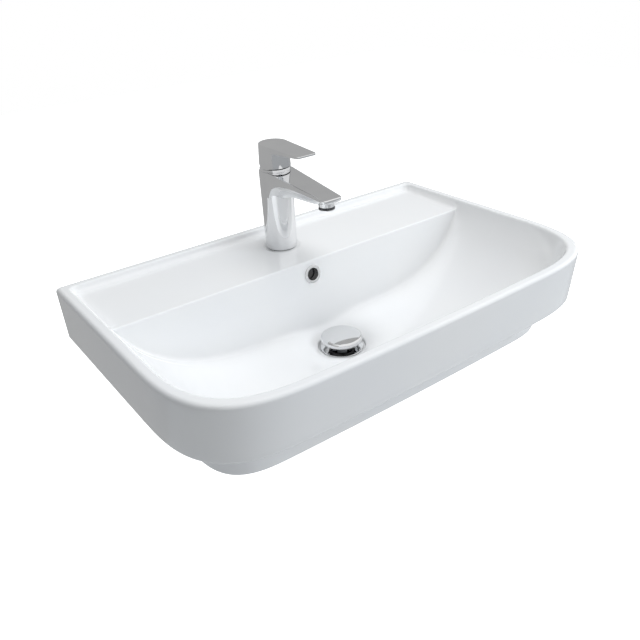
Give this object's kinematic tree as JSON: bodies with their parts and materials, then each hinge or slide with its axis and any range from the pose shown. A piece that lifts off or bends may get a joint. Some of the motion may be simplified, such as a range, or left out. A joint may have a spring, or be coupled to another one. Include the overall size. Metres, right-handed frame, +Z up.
{
  "type": "wall-hung basin with tap and waste",
  "caption": "Wall-hung D-shaped ceramic basin with a stepped underside, single-lever chrome tap, ringed overflow and push-button waste.",
  "frame": {"origin": "midway between the two wall-bolt holes, on the basin's back face", "axes": "+X to the right seen from the front, -Y out from the wall to the front, +Z up"},
  "size_m": [0.6998, 0.4506, 0.3849],
  "materials": {
    "glazed_ceramic": "gloss white glaze",
    "chrome": "mirror-bright plating",
    "ceramic_disc": "lapped, unglazed",
    "cartridge_plastic": "moulded",
    "brass": "turned",
    "steel": "bright",
    "black_rubber": "matt",
    "aerator_plastic": "moulded",
    "cap_plastic": "satin grey"
  },
  "bodies": {
    "basin_and_fittings": {"basin": "glazed_ceramic", "overflow_ring": "chrome", "tap_body": "chrome", "cover_ring": "chrome", "aerator_housing": "chrome", "waste_body": "chrome", "fixed_ceramic_disc": "ceramic_disc", "cartridge_housing": "cartridge_plastic", "click_barrel": "cartridge_plastic", "cartridge_nut": "brass", "fixing_nut": "brass", "waste_nut": "brass", "fixing_stud": "steel", "horseshoe_washer": "steel", "waste_washer": "steel", "plug_spring": "steel", "tap_base_seal": "black_rubber", "cartridge_base_seals": "black_rubber", "aerator_washer": "black_rubber", "horseshoe_seal": "black_rubber", "waste_top_seal": "black_rubber", "waste_bottom_seal": "black_rubber", "aerator_insert": "aerator_plastic"},
    "turning_carrier": {"cartridge_carrier": "cartridge_plastic", "spindle_pin": "steel"},
    "lever_group": {"lever": "chrome", "lever_spindle": "steel", "lever_grub_screw": "steel", "lever_screw_cap": "cap_plastic"},
    "sliding_disc": {"moving_ceramic_disc": "ceramic_disc", "disc_driver": "cartridge_plastic"},
    "plug": {"plug_cap": "chrome", "plug_seal": "black_rubber", "plug_stem": "steel", "latch_pin": "steel"}
  },
  "joints": [
    {"name": "tap_swivel", "type": "hinge", "parent": "basin_and_fittings", "child": "turning_carrier", "pos_m": [0, -0.075, 0.203], "axis": [0, 0, 1], "range_deg": [-50, 50]},
    {"name": "lever_tilt", "type": "hinge", "parent": "turning_carrier", "child": "lever_group", "pos_m": [0, -0.075, 0.203], "axis": [-1, 0, 0], "range_deg": [0, 24]},
    {"name": "disc_slide", "type": "slide", "parent": "turning_carrier", "child": "sliding_disc", "axis": [0, -1, 0], "range_m": [0, 0.00447]},
    {"name": "plug_press", "type": "slide", "parent": "basin_and_fittings", "child": "plug", "axis": [0, 0, -1], "range_m": [0, 0.009], "deforming": ["plug_spring"]}
  ],
  "couplings": [
    {"joint": "disc_slide", "follows": "lever_tilt", "m_per_rad": 0.010681}
  ]
}
